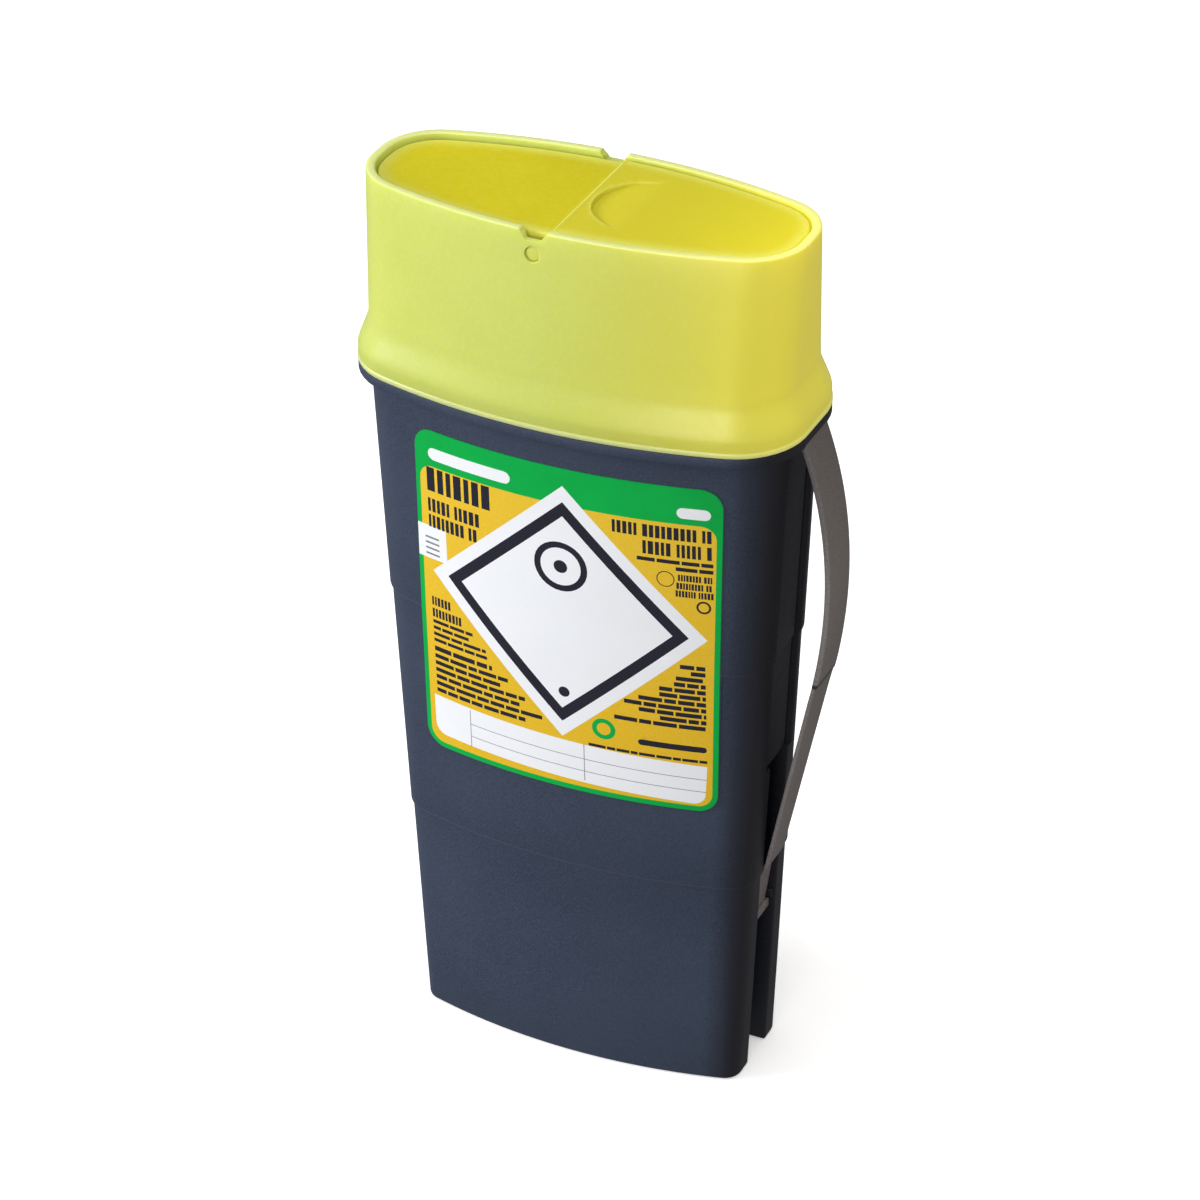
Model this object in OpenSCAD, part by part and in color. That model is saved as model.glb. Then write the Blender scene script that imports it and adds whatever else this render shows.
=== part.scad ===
// Small one-hand sharps container: a tapered nesting base with a tall push-on
// lid collar, a rocker flap across the top, a bowed carrying strap and a label.
// X runs along the long side (the strap is at +X), the label faces -Y, +Z is up.

/* [Overall] */
// Height from the table to the rim of the lid
total_h = 225; // [215:1:240]
// Height of the seam between base and lid, which is also the fill line
seam_h = 179; // [176:1:182]
// Plan radius of the bulging front and back faces of the base
base_face_r = 150; // [146:1:156]
// Plan radius of the bulging front and back faces of the lid
lid_face_r = 153; // [149:1:160]

/* [Base] */
// Half length of the base at the table
base_half_len = 41.9; // [41:0.1:43]
// Half length of the base at the seam
seam_half_len = 52; // [51:0.1:53]
// Half depth of the base at the table
base_half_dep = 18.4; // [17.8:0.1:19.5]
// Half depth of the base at the seam
seam_half_dep = 25.2; // [24.6:0.1:26]
// Plan corner radius at the table
base_corner_r = 4.5; // [4:0.1:6]
// Plan corner radius at the seam
seam_corner_r = 14.4; // [13.5:0.1:15]
// Wall thickness of the base
wall = 1.6; // [1.4:0.1:1.8]
// Thickness of the base floor
floor_t = 1.8; // [1.5:0.1:2.5]
// Height of the lower nesting step
step_low_h = 58; // [56:1:62]
// Height of the upper nesting step
step_high_h = 119; // [116:1:122]
// How far each nesting step stands in from the one above it
step_in = 0.5; // [0.3:0.1:0.6]
// How far the lip stands out below the lid
lip_out = 2.8; // [2.4:0.1:3]
// Height of the lip
lip_h = 2.6; // [2:0.1:3]
// Height of the neck inside the lid skirt
neck_h = 8.5; // [7:0.1:9]

/* [End channel] */
// Half width of the deep channel that holds the strap foot
channel_half_w = 5; // [4.8:0.1:5.6]
// Depth of the channel
channel_d = 7; // [6:0.1:8]
// Height at which the channel ends and the shallow strap panel starts
channel_top = 88; // [80:1:95]
// Half width of the shallow strap panel
panel_half_w = 6.4; // [6.2:0.1:7]
// Depth of the shallow strap panel
panel_d = 1; // [0.6:0.1:1.2]
// Radius of the groove along each side of that panel
groove_r = 0.9; // [0.7:0.1:1]

/* [Lid] */
// Half length of the lid at the rim
rim_half_len = 53.4; // [52.8:0.1:54]
// Half depth of the lid at the rim
rim_half_dep = 21.8; // [21.3:0.1:22.4]
// Wall thickness of the lid
lid_wall = 2.2; // [2:0.1:2.6]
// How far the skirt stands out from the lid wall
skirt_out = 2.9; // [2.5:0.1:3.1]
// Height of the upright part of the skirt
skirt_h = 4.6; // [4:0.1:5]
// Height above the seam at which the sloping shoulder meets the wall
shoulder_h = 11.5; // [11:0.1:13]

/* [Flap] */
// Distance of the pivot line from the middle of the lid, towards -X
pivot_back = 3.8; // [3:0.1:5]
// Depth of the pivot line below the rim
pivot_drop = 5.4; // [5:0.1:6]
// Diameter of the pivot pins
pin_d = 3.6; // [3:0.1:4]
// Radial clearance of a pin in its hole
pin_gap = 0.08; // [0.03:0.01:0.1]
// Gap between the flap's edge and the lid wall
flap_gap = 0.6; // [0.6:0.05:0.8]
// Thickness of the flap's thinner half
flap_t = 1.6; // [1.4:0.1:1.8]
// Depth of the press half of the flap below the rim
flap_drop = 0.6; // [0.5:0.1:0.8]
// How far the other half stands lower
flap_step = 0.7; // [0.4:0.1:0.8]
// Radius of the half-round press mark
mark_r = 11.8; // [10:0.1:12]

/* [Strap] */
// Thickness of the strap
strap_t = 1.4; // [1.2:0.1:1.6]
// Width of the strap where it leaves the lip
strap_w_top = 12.6; // [12:0.1:12.8]
// Width of the strap at its crease
strap_w_mid = 11.2; // [10.5:0.1:12]
// Width of the strap where it enters the channel
strap_w_low = 9.4; // [8.5:0.1:9.6]

/* [Label] */
// Height of the label's lower edge
label_low = 80.4; // [79:0.1:82]
// Height of the label's upper edge
label_high = 168.9; // [166:0.1:170]
// Label edge on the -X side
label_left = -36; // [-37:0.1:-35]
// Label edge on the +X side
label_right = 41; // [40:0.1:42]
// Corner radius of the label
label_r = 5; // [3:0.5:6]
// Thickness of the label
label_t = 0.3; // [0.2:0.05:0.4]
// Thickness of the glue film under it
glue_t = 0.05; // [0.02:0.01:0.1]

/* [Hidden] */
$fn = 96;
reach = 200;
foot_h = 1;
foot_w = 3;
base_grey = [0.20, 0.22, 0.27];
strap_grey = [0.28, 0.27, 0.27];
lid_yellow = [0.86, 0.88, 0.42];
flap_yellow = [0.82, 0.78, 0.15];
label_green = [0.05, 0.62, 0.30];

// A plan section is [half length, half depth, corner radius, face radius].
function mix(p, q, t) = p + (q - p) * t;
function grown(s, g) = [s[0] + g, s[1] + g, s[2] + g, s[3] + g];
table_sec = [base_half_len, base_half_dep, base_corner_r, base_face_r];
top_sec = [seam_half_len, seam_half_dep, seam_corner_r, base_face_r];
seam_sec = [seam_half_len, seam_half_dep, seam_corner_r, lid_face_r];
rim_sec = [rim_half_len, rim_half_dep, seam_corner_r, lid_face_r];
// Middle line of the base's outside, halfway between the nesting steps
step_back = [step_in, step_in, step_in, 0];
low_sec = table_sec + step_back;
high_sec = top_sec - step_back;
function out_sec(z) = mix(low_sec, high_sec, z / seam_h);
function in_sec(z) = grown(mix(table_sec, top_sec, z / seam_h), -wall);
shoulder_z = seam_h + shoulder_h;
function lid_sec(z) = mix(seam_sec, rim_sec, (z - shoulder_z) / (total_h - shoulder_z));
// Lean of the base's end from upright
end_tilt = atan((high_sec[0] - low_sec[0]) / seam_h);
// Pivot line
pivot_x = -pivot_back;
pivot_z = total_h - pivot_drop;

// Plan centre of the corner circle, which touches the end line and the face arc
function corner(s) =
    let (x = s[0] - s[2], r = s[3] - s[2])
    [x, s[3] - s[1] - sqrt(r * r - x * x)];
function corner_angle(s) =
    let (c = corner(s))
    atan2(c[1] - (s[3] - s[1]), c[0]);

// Round rod of radius r0 to r1 whose axis runs from p to q, drawn longer at both ends
module rod(p, q, r0, r1, over) {
    d = q - p;
    len = norm(d);
    dr = (r1 - r0) * over / len;
    translate(p)
        rotate([-asin(d[1] / len), atan2(d[0], d[2]), 0])
            translate([0, 0, -over])
                cylinder(len + 2 * over, r0 - dr, r1 + dr, $fn = r0 > 20 ? 360 : 96);
}

// What the rounded corner leaves out, for the corner at +X -Y
module corner_waste(z0, z1, s0, s1) {
    over = 6;
    c0 = corner(s0);
    c1 = corner(s1);
    p = [c0[0], c0[1], z0];
    q = [c1[0], c1[1], z1];
    d = q - p;
    a = corner_angle(s0);
    far = 3 * max(s0[2], s1[2]);
    difference() {
        translate(p)
            rotate([-asin(d[1] / norm(d)), atan2(d[0], d[2]), 0])
                translate([0, 0, 1 - over])
                    linear_extrude(norm(d) + 2 * over - 2)
                        polygon([[0, 0], far * [cos(a), sin(a)], far * [1, -1], [far, 0]]);
        rod(p, q, s0[2], s1[2], over);
    }
}

// Solid with bulging faces, flat ends and rounded corners, from section s0 at z0 to s1 at z1
module lens(z0, z1, s0, s1) {
    end = atan((s1[0] - s0[0]) / (z1 - z0));
    c0 = s0[3] - s0[1];
    c1 = s1[3] - s1[1];
    // A leaning round rod is cut by a level plane in a slightly longer curve
    longer = 1 / cos(atan((c1 - c0) / (z1 - z0))) - 1;
    difference() {
        intersection() {
            translate([-reach / 2, -reach / 2, z0])
                cube([reach, reach, z1 - z0]);
            intersection_for(side = [0, 1])
                mirror([0, side, 0])
                    rod([0, c0 + longer * s0[3], z0], [0, c1 + longer * s1[3], z1], s0[3], s1[3], 30);
            intersection_for(side = [0, 1])
                mirror([side, 0, 0])
                    translate([s0[0], 0, z0])
                        rotate([0, end, 0])
                            translate([-reach, -reach / 2, -reach / 2])
                                cube([reach, reach, 2 * reach]);
        }
        for (sx = [0, 1], sy = [0, 1])
            mirror([sx, 0, 0])
                mirror([0, sy, 0])
                    corner_waste(z0, z1, s0, s1);
    }
}

// Upright solid of one section
module slab(z0, z1, s) {
    lens(z0, z1, s, s);
}

// Part of the base's outside, grown by g, from z0 to z1
module base_band(z0, z1, g) {
    lens(z0, z1, grown(out_sec(z0), g), grown(out_sec(z1), g));
}

// Box that leans with the end face: d deep from a face grown by g, half width w, z0 to z1
module end_box(z0, z1, w, d, g) {
    intersection() {
        translate([0, -w, z0])
            cube([reach, 2 * w, z1 - z0]);
        translate([low_sec[0] + g, 0, 0])
            rotate([0, end_tilt, 0])
                translate([-d, -w, -10])
                    cube([20, 2 * w, reach + 40]);
    }
}

// Rounded groove that leans with the end face
module end_groove(z0, z1, y, d, g, r) {
    intersection() {
        translate([0, y - 2 * r, z0])
            cube([reach, 4 * r, z1 - z0]);
        translate([low_sec[0] + g, y, 0])
            rotate([0, end_tilt, 0])
                translate([-d, 0, -10])
                    cylinder(reach + 40, r = r);
    }
}

// Label outline in the XZ plane, through the whole depth, grown by g
module label_prism(g) {
    w = label_right - label_left + 2 * g;
    h = label_high - label_low + 2 * g;
    r = label_r + g;
    translate([label_left - g, 0, label_low - g])
        rotate([90, 0, 0])
            linear_extrude(60)
                union() {
                    translate([r, 0])
                        square([w - 2 * r, h]);
                    translate([0, r])
                        square([w, h - 2 * r]);
                    for (x = [r, w - r], y = [r, h - r])
                        translate([x, y])
                            circle(r);
                }
}

module base_outside() {
    base_band(0, step_low_h, -step_in);
    base_band(step_low_h, step_high_h, 0);
    base_band(step_high_h, seam_h, step_in);
    slab(seam_h - lip_h, seam_h, grown(seam_sec, lip_out));
    slab(seam_h - 1, seam_h + neck_h, grown(seam_sec, -0.1));
    // The face stays in one plane behind the label
    intersection() {
        base_band(label_low - 1, step_high_h + 1, step_in);
        label_prism(1);
    }
}

module base_inside() {
    low = foot_h + floor_t;
    high = seam_h + neck_h + 1;
    difference() {
        lens(low, high, in_sec(low), in_sec(high));
        end_box(-1, channel_top + wall, channel_half_w + wall, channel_d + wall, -step_in);
        end_box(channel_top, seam_h - lip_h, panel_half_w + 2.4, 2.2 * panel_d + wall, 0);
    }
}

// Lugs in the channel that trap the strap's foot
module foot_lugs() {
    for (side = [0, 1])
        mirror([0, side, 0])
            intersection() {
                translate([0, channel_half_w - 1, 44])
                    cube([reach, 1.5, 2.4]);
                end_box(40, 50, channel_half_w + 1, 3.2, -step_in - 0.3);
                base_band(0, step_low_h, -step_in);
            }
}

// Underside hollow, which leaves a foot rim
module foot_hollow() {
    big = base_face_r - foot_w;
    long = base_half_len - foot_w;
    difference() {
        intersection() {
            intersection_for(side = [-1, 1])
                translate([0, side * (base_face_r - base_half_dep), -1])
                    cylinder(foot_h + 1, r = big, $fn = 360);
            translate([-long, -reach / 2, -1])
                cube([2 * long, reach, foot_h + 1]);
        }
        end_box(-2, foot_h + 1, channel_half_w + wall, channel_d + wall, -step_in);
    }
}

module base() {
    color(base_grey) {
        difference() {
            base_outside();
            base_inside();
            foot_hollow();
            // Deep channel, then the shallow strap panel with its side grooves
            end_box(-1, channel_top, channel_half_w, channel_d, -step_in);
            end_box(channel_top, step_high_h, panel_half_w, panel_d, 0);
            end_box(step_high_h, seam_h - lip_h, panel_half_w, panel_d, step_in);
            for (side = [-1, 1])
                end_groove(channel_top, seam_h - lip_h, side * (panel_half_w - 0.3), panel_d - 0.15, 0, groove_r);
            // Slot in the lip for the strap's root
            translate([seam_half_len - 0.4, -strap_w_top / 2 - 0.15, seam_h - lip_h - 1])
                cube([10, strap_w_top + 0.3, lip_h + 1]);
        }
        foot_lugs();
    }
}

// Pivot hole, drop-in notch and lead-in on the -Y side of the lid
module pivot_seat() {
    hole_r = pin_d / 2 + pin_gap;
    notch_w = 6.4;
    notch_d = 2.3;
    translate([pivot_x, 0, pivot_z])
        rotate([90, 0, 0])
            cylinder(40, r = hole_r);
    translate([pivot_x, 0, total_h])
        rotate([90, 0, 0])
            linear_extrude(40)
                polygon([
                    [-notch_w / 2 - 1, 1], [-notch_w / 2, 0], [-notch_w / 4, -notch_d],
                    [notch_w / 4, -notch_d], [notch_w / 2, 0], [notch_w / 2 + 1, 1],
                ]);
    // Sloping lead-in on the inner face, from the notch down to the hole
    translate([pivot_x, -rim_half_dep + lid_wall, pivot_z])
        rotate([14, 0, 0])
            translate([-hole_r - 0.15, -0.6, 1])
                cube([2 * hole_r + 0.3, 4, 8]);
}

module lid_collar() {
    skirt_in = 0.05;
    // The shoulder stands a little in from the skirt and a little out from the wall
    shoulder_low = seam_h + skirt_h - 0.5;
    neck_top = seam_h + neck_h;
    ledge_t = 1.6;
    color(lid_yellow) {
        difference() {
            union() {
                lens(seam_h + 1, total_h, lid_sec(seam_h + 1), rim_sec);
                lens(shoulder_low, shoulder_z, grown(seam_sec, skirt_out - 0.3), grown(seam_sec, 0.3));
                slab(seam_h, seam_h + skirt_h, grown(seam_sec, skirt_out));
            }
            slab(seam_h - 1, neck_top + 0.2, grown(seam_sec, skirt_in));
            difference() {
                lens(neck_top, total_h + 3, grown(lid_sec(neck_top), -lid_wall), grown(lid_sec(total_h + 3), -lid_wall));
                // Ledge that stops the flap at the end away from the strap
                translate([-rim_half_len - 10, -8, pivot_z - 0.6 - ledge_t])
                    cube([10 + lid_wall + 1.6, 16, ledge_t]);
            }
            for (side = [0, 1])
                mirror([0, side, 0])
                    pivot_seat();
        }
    }
}

// The flap's two-level plate in side view, from the level low up to its top surface
module flap_side(low) {
    high = total_h - flap_drop;
    step_x = -0.5;
    translate([0, reach / 2, 0])
        rotate([90, 0, 0])
            linear_extrude(reach)
                polygon([
                    [-reach, low], [reach, low], [reach, high],
                    [step_x, high], [step_x - 0.3, high - flap_step], [-reach, high - flap_step],
                ]);
}

module flap_plan(g) {
    slab(total_h - 12, total_h + 1, grown(rim_sec, g - lid_wall - flap_gap));
}

module press_mark() {
    mark_x = 1.2;
    depth = 1.1;
    intersection() {
        translate([mark_x + mark_r, 0, total_h - 6])
            cylinder(10, r = mark_r);
        translate([mark_x + mark_r, 0, total_h - flap_drop])
            rotate([0, -atan(depth / mark_r), 0])
                translate([-2 * mark_r, -mark_r, 0])
                    cube([2 * mark_r - 1.5, 2 * mark_r, 6]);
    }
}

module rocker_flap() {
    rim_t = 1.2;
    rim_drop = 2.2;
    under = total_h - flap_drop - flap_step - flap_t;
    ear_y = rim_half_dep - lid_wall - flap_gap - 0.1;
    pin_y = rim_half_dep + 0.1;
    color(flap_yellow) {
        difference() {
            intersection() {
                flap_side(under);
                flap_plan(0);
            }
            press_mark();
        }
        // Stiffening rim under the edge
        difference() {
            intersection() {
                flap_side(under - rim_drop);
                flap_plan(0);
            }
            flap_plan(-rim_t);
            translate([-reach / 2, -reach / 2, under + 0.2])
                cube([reach, reach, 20]);
        }
        // Barrel under the plate, with a pin at each end, and the web that carries it
        translate([pivot_x, 0, pivot_z])
            rotate([90, 0, 0]) {
                translate([0, 0, -ear_y])
                    cylinder(2 * ear_y, d = pin_d + 1.6);
                translate([0, 0, -pin_y])
                    cylinder(2 * pin_y, d = pin_d);
            }
        translate([pivot_x - 1, 0.6 - ear_y, pivot_z])
            cube([2, 2 * (ear_y - 0.6), under + 0.2 - pivot_z]);
    }
}

// Outer face of the bowed part of the strap, as [x, z] on a cubic curve
bow_start = [54.6, 177.5];
bow_end = [58.3, 113.2];
bow_pull = [[62.8, 155.7], [62.4, 133.8]];
function bow(t) =
    pow(1 - t, 3) * bow_start + 3 * pow(1 - t, 2) * t * bow_pull[0]
    + 3 * (1 - t) * t * t * bow_pull[1] + pow(t, 3) * bow_end;
bow_steps = 24;
bow_outer = [for (i = [0 : bow_steps]) bow(i / bow_steps)];
strap_end = [46.8, 59.4];
tongue_bend = [44.3, 55.2];
tongue_end = [42.4, 43];
strap_line = concat(bow_outer, [strap_end, tongue_bend, tongue_end]);
// Inner face: each point moved in by the thickness, square to the line through its neighbours
function inward(line, i) =
    let (a = line[max(i - 1, 0)], b = line[min(i + 1, len(line) - 1)], d = (b - a) / norm(b - a))
    line[i] + strap_t * [d[1], -d[0]];
strap_back = [for (i = [len(strap_line) - 1 : -1 : 0]) inward(strap_line, i)];

module strap_profile() {
    translate([0, reach / 2, 0])
        rotate([90, 0, 0])
            linear_extrude(reach)
                polygon(concat(strap_line, strap_back));
}

module carry_strap() {
    tongue_w = 7.6;
    foot_w = 9.4;
    color(strap_grey) {
        intersection() {
            strap_profile();
            translate([-reach / 2, 0, 0])
                rotate([90, 0, 90])
                    linear_extrude(2 * reach)
                        polygon([
                            [-strap_w_top / 2, 180], [-strap_w_mid / 2, bow_end[1]],
                            [-strap_w_low / 2, strap_end[1]], [-tongue_w / 2, tongue_bend[1]],
                            [-tongue_w / 2, 40], [tongue_w / 2, 40],
                            [tongue_w / 2, tongue_bend[1]], [strap_w_low / 2, strap_end[1]],
                            [strap_w_mid / 2, bow_end[1]], [strap_w_top / 2, 180],
                        ]);
        }
        // Root that sits in the lip's slot
        translate([seam_half_len - 0.3, -strap_w_top / 2, seam_h - lip_h])
            cube([lip_out + 0.3, strap_w_top, lip_h]);
        // Cross bar of the foot, under the lugs
        translate([tongue_end[0] - strap_t - 0.5, -foot_w / 2, 41.2])
            cube([2.4, foot_w, 2.6]);
    }
}

module front_label() {
    color(label_green)
        intersection() {
            difference() {
                base_band(label_low - 1, label_high + 1, step_in + glue_t + label_t);
                base_band(label_low - 2, label_high + 2, step_in + glue_t);
            }
            label_prism(0);
        }
}

base();
lid_collar();
rocker_flap();
carry_strap();
front_label();
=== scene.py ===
"""Looks for the sharps container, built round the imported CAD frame.

Shapes are worked out in millimetres, in the CAD model's own axes, and scaled to metres as each mesh is made.
"""

import math
import random

import bmesh
import bpy
from mathutils import Matrix, Vector
from mathutils.geometry import delaunay_2d_cdt


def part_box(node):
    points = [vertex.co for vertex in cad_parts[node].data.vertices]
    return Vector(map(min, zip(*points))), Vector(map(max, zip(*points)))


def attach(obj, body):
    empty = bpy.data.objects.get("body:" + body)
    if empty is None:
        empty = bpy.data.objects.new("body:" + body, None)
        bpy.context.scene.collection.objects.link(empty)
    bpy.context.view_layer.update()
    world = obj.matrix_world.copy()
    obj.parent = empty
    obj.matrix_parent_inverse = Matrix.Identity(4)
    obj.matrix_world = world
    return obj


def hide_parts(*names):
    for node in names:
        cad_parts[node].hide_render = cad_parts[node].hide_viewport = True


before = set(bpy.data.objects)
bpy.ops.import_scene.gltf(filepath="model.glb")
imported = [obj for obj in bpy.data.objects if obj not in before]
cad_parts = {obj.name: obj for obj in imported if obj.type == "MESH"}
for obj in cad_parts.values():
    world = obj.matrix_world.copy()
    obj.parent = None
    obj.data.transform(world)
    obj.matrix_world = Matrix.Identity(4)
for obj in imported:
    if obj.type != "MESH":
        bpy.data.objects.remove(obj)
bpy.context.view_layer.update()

MM = 0.001

# ---------------------------------------------------------------- sizes, in millimetres

SEAM_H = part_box("lid_collar")[0].z / MM
TOTAL_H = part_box("lid_collar")[1].z / MM
SHOULDER_H = SEAM_H + 11.5
STEP_LOW, STEP_HIGH, STEP = 58.0, 119.0, 0.5
WALL, LID_WALL = 1.6, 2.2
LIP_OUT, LIP_H, NECK_H = 2.8, 2.6, 8.5
CHANNEL_W, CHANNEL_D, CHANNEL_TOP = 5.0, 7.0, 88.0
PANEL_W, PANEL_D = 6.4, 1.0
PIVOT_X, PIVOT_Z, PIN_R = -3.8, TOTAL_H - 5.4, 1.8
FLAP_GAP, FLAP_T, FLAP_DROP, FLAP_STEP = 0.6, 1.6, 0.6, 0.7
LABEL_LOW, LABEL_HIGH, LABEL_T = 80.4, 168.9, 0.25

# Height of the strap's crease
CREASE_H = 113.2
# Edges that turn by more than this many degrees stay sharp
SHARP = 32.0
# A plan section is (half length, half depth, corner radius, face radius)
TABLE = (41.9, 18.4, 4.5, 150.0)
TOP = (52.0, 25.2, 14.4, 150.0)
SEAM = (52.0, 25.2, 14.4, 153.0)
RIM = (53.4, 21.8, 14.4, 153.0)


def mix(p, q, t):
    return tuple(u + (v - u) * t for u, v in zip(p, q))


def grown(sec, g):
    return tuple(v + g for v in sec)


def wall_sec(z, g=0.0):
    """Outside of the base at height z, grown by g from the line midway between the nesting steps."""
    low = (TABLE[0] + STEP, TABLE[1] + STEP, TABLE[2] + STEP, TABLE[3])
    high = (TOP[0] - STEP, TOP[1] - STEP, TOP[2] - STEP, TOP[3])
    return grown(mix(low, high, z / SEAM_H), g)


def inner_sec(z, g=0.0):
    return grown(mix(TABLE, TOP, z / SEAM_H), g - WALL)


def lid_sec(z, g=0.0):
    t = max(z - SHOULDER_H, 0.0) / (TOTAL_H - SHOULDER_H)
    return grown(mix(SEAM, RIM, t), g)


# ---------------------------------------------------------------- outlines and lofts

FACE_N, CORNER_N = 40, 9


def arc(cx, cy, r, a0, a1, n, skip_first=False):
    first = 1 if skip_first else 0
    angles = [a0 + (a1 - a0) * i / n for i in range(first, n + 1)]
    return [(cx + r * math.cos(t), cy + r * math.sin(t)) for t in angles]


def corner_centre(sec):
    """Centre of the rounded corner at +X, +Y, which runs smoothly into the bowed face."""
    a, b, r, big = sec
    x = a - r
    return x, (big - b) - math.sqrt((big - r) ** 2 - x * x)


def end_line(a, kind, half_w, floor_x):
    """The +X end from front to back as (x, y): plain, a square channel, or a panel with side grooves."""
    e = 0.4  # how far the channel's edges are rounded
    if kind == "channel":
        side = [(a, half_w + 2 * e), (a, half_w + e), (a - 0.3 * e, half_w + 0.3 * e), (a - e, half_w)]
        side += [(floor_x + e, half_w), (floor_x, half_w - e), (floor_x, half_w / 2)]
    elif kind == "panel":
        side = [(a, half_w + 1.3), (a - 0.25, half_w + 0.7), (a - 0.8, half_w + 0.3)]
        side += [(floor_x - 0.7, half_w), (floor_x - 0.7, half_w - 0.6), (floor_x, half_w - 1.3)]
        side += [(floor_x, half_w / 2)]
    else:
        side = [(a, half_w * k) for k in (1.3, 1.2, 1.1, 1.0, 0.9, 0.8, 0.5)]
    return [(x, -y) for x, y in side] + [(side[-1][0], 0.0)] + [(x, y) for x, y in reversed(side)]


def outline(sec, kind="plain", half_w=5.0, floor_x=0.0):
    """Closed outline of a section, anticlockwise from the front face's -X end."""
    a, b, r, big = sec
    cx, cy = corner_centre(sec)
    up = big - b
    t = math.atan2(cy - up, cx)
    end = end_line(a, kind, half_w, floor_x)
    stop = math.asin(min((end[0][1] - cy) / r, 0.0))
    pts = arc(0, up, big, -math.pi - t, t, FACE_N)
    pts += arc(cx, cy, r, t, stop, CORNER_N, True)
    for x, y in end:
        past = max(abs(y) + cy, 0.0) if x > floor_x else 0.0
        pts.append((x - r + math.sqrt(r * r - past * past), y))
    pts += arc(cx, -cy, r, -stop, -t, CORNER_N)
    pts += arc(0, -up, big, -t, math.pi + t, FACE_N, True)
    pts += arc(-cx, -cy, r, math.pi + t, math.pi, CORNER_N, True)
    pts += [(-a, 0.0)]
    pts += arc(-cx, cy, r, math.pi, math.pi - t, CORNER_N)[:-1]
    return pts


def ring(z, sec, *end):
    return [(x, y, z) for x, y in outline(sec, *end)]


class Shape:
    """Vertices in millimetres, faces, and one material number for each face."""

    def __init__(self):
        self.verts, self.faces, self.mats = [], [], []

    def add(self, verts, faces, mats=None):
        base = len(self.verts)
        self.verts += [tuple(v) for v in verts]
        self.faces += [tuple(base + i for i in f) for f in faces]
        self.mats += mats or [0] * len(faces)

    def loft(self, rings, closed=False):
        """Joins rings of equal length; the solid lies to the left of the way they are wound."""
        n = len(rings[0])
        count = len(rings)
        faces = []
        for k in range(count if closed else count - 1):
            lo, hi = k * n, ((k + 1) % count) * n
            for i in range(n):
                j = (i + 1) % n
                faces.append((lo + i, lo + j, hi + j, hi + i))
        if not closed:
            faces.append(tuple(reversed(range(n))))
            faces.append(tuple((count - 1) * n + i for i in range(n)))
        self.add([p for r in rings for p in r], faces)

    def block(self, lo, hi, bevel):
        """A box with rounded edges."""
        bm = bmesh.new()
        bmesh.ops.create_cube(bm, size=1.0)
        for v in bm.verts:
            v.co = [lo[i] + (v.co[i] + 0.5) * (hi[i] - lo[i]) for i in range(3)]
        bmesh.ops.bevel(bm, geom=bm.edges[:], offset=bevel, segments=3, affect="EDGES", profile=0.5)
        bm.verts.index_update()
        self.add([v.co[:] for v in bm.verts], [[v.index for v in f.verts] for f in bm.faces])
        bm.free()

    def lathe_y(self, profile, cx, cz, n=48):
        """Turns (y, radius) points about the line x = cx, z = cz."""
        rings = []
        for y, r in profile:
            turn = [2 * math.pi * i / n for i in range(n)]
            rings.append([(cx + r * math.cos(t), y, cz - r * math.sin(t)) for t in turn])
        self.loft(rings)

    def plate(self, loops, grid, inside, top, low, mat_of=None):
        """A curved plate: flat loops cut it into regions, and top and low place each flat point in space."""
        flat, edges = [], []
        for loop in loops:
            start, n = len(flat), len(loop)
            flat += [Vector(p) for p in loop]
            edges += [(start + i, start + (i + 1) % n) for i in range(n)]
        flat += [Vector(p) for p in grid]
        points, _, tris, *_ = delaunay_2d_cdt(flat, edges, [], 0, 1e-5)
        keep, mats = [], []
        for tri in tris:
            centre = sum((points[i] for i in tri), Vector((0, 0))) / len(tri)
            if inside(centre):
                keep.append(tuple(tri))
                mats.append(mat_of(centre) if mat_of else 0)
        n = len(points)
        once = {}
        for tri in keep:
            for i in range(len(tri)):
                e = (tri[i], tri[(i + 1) % len(tri)])
                if (e[1], e[0]) in once:
                    del once[(e[1], e[0])]
                else:
                    once[e] = True
        faces = keep + [tuple(n + i for i in reversed(t)) for t in keep]
        faces += [(b, a, n + a, n + b) for a, b in once]
        mats = mats + [0] * (len(keep) + len(once))
        self.add([top(p) for p in points] + [low(p) for p in points], faces, mats)

    def make(self, name, materials):
        """An object in metres, without loose points and with its faces turned outwards."""
        mesh = bpy.data.meshes.new(name)
        mesh.from_pydata([[c * MM for c in v] for v in self.verts], [], self.faces)
        for m in materials:
            mesh.materials.append(m)
        mesh.polygons.foreach_set("material_index", self.mats)
        bm = bmesh.new()
        bm.from_mesh(mesh)
        loose = [v for v in bm.verts if not v.link_faces]
        bmesh.ops.delete(bm, geom=loose, context="VERTS")
        bmesh.ops.recalc_face_normals(bm, faces=bm.faces)
        bm.to_mesh(mesh)
        bm.free()
        obj = bpy.data.objects.new(name, mesh)
        bpy.context.scene.collection.objects.link(obj)
        smooth(obj)
        return obj


def smooth(obj):
    mesh = obj.data
    mesh.polygons.foreach_set("use_smooth", [True] * len(mesh.polygons))
    mesh.set_sharp_from_angle(angle=math.radians(SHARP))
    mesh.update()


def inset_depth(sec, x, y):
    """How far inside a section's outline the point (x, y) lies."""
    a, b, r, big = sec
    cx, cy = corner_centre(sec)
    deep = min(a - abs(x), big - math.hypot(x, abs(y) + big - b))
    px, py = abs(x) - cx, abs(y) + cy
    t = math.atan2(-(cy - (big - b)), cx)
    if px > 0 and py > 0 and math.atan2(py, px) < t:
        deep = min(deep, r - math.hypot(px, py))
    return deep


# ---------------------------------------------------------------- materials


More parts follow.
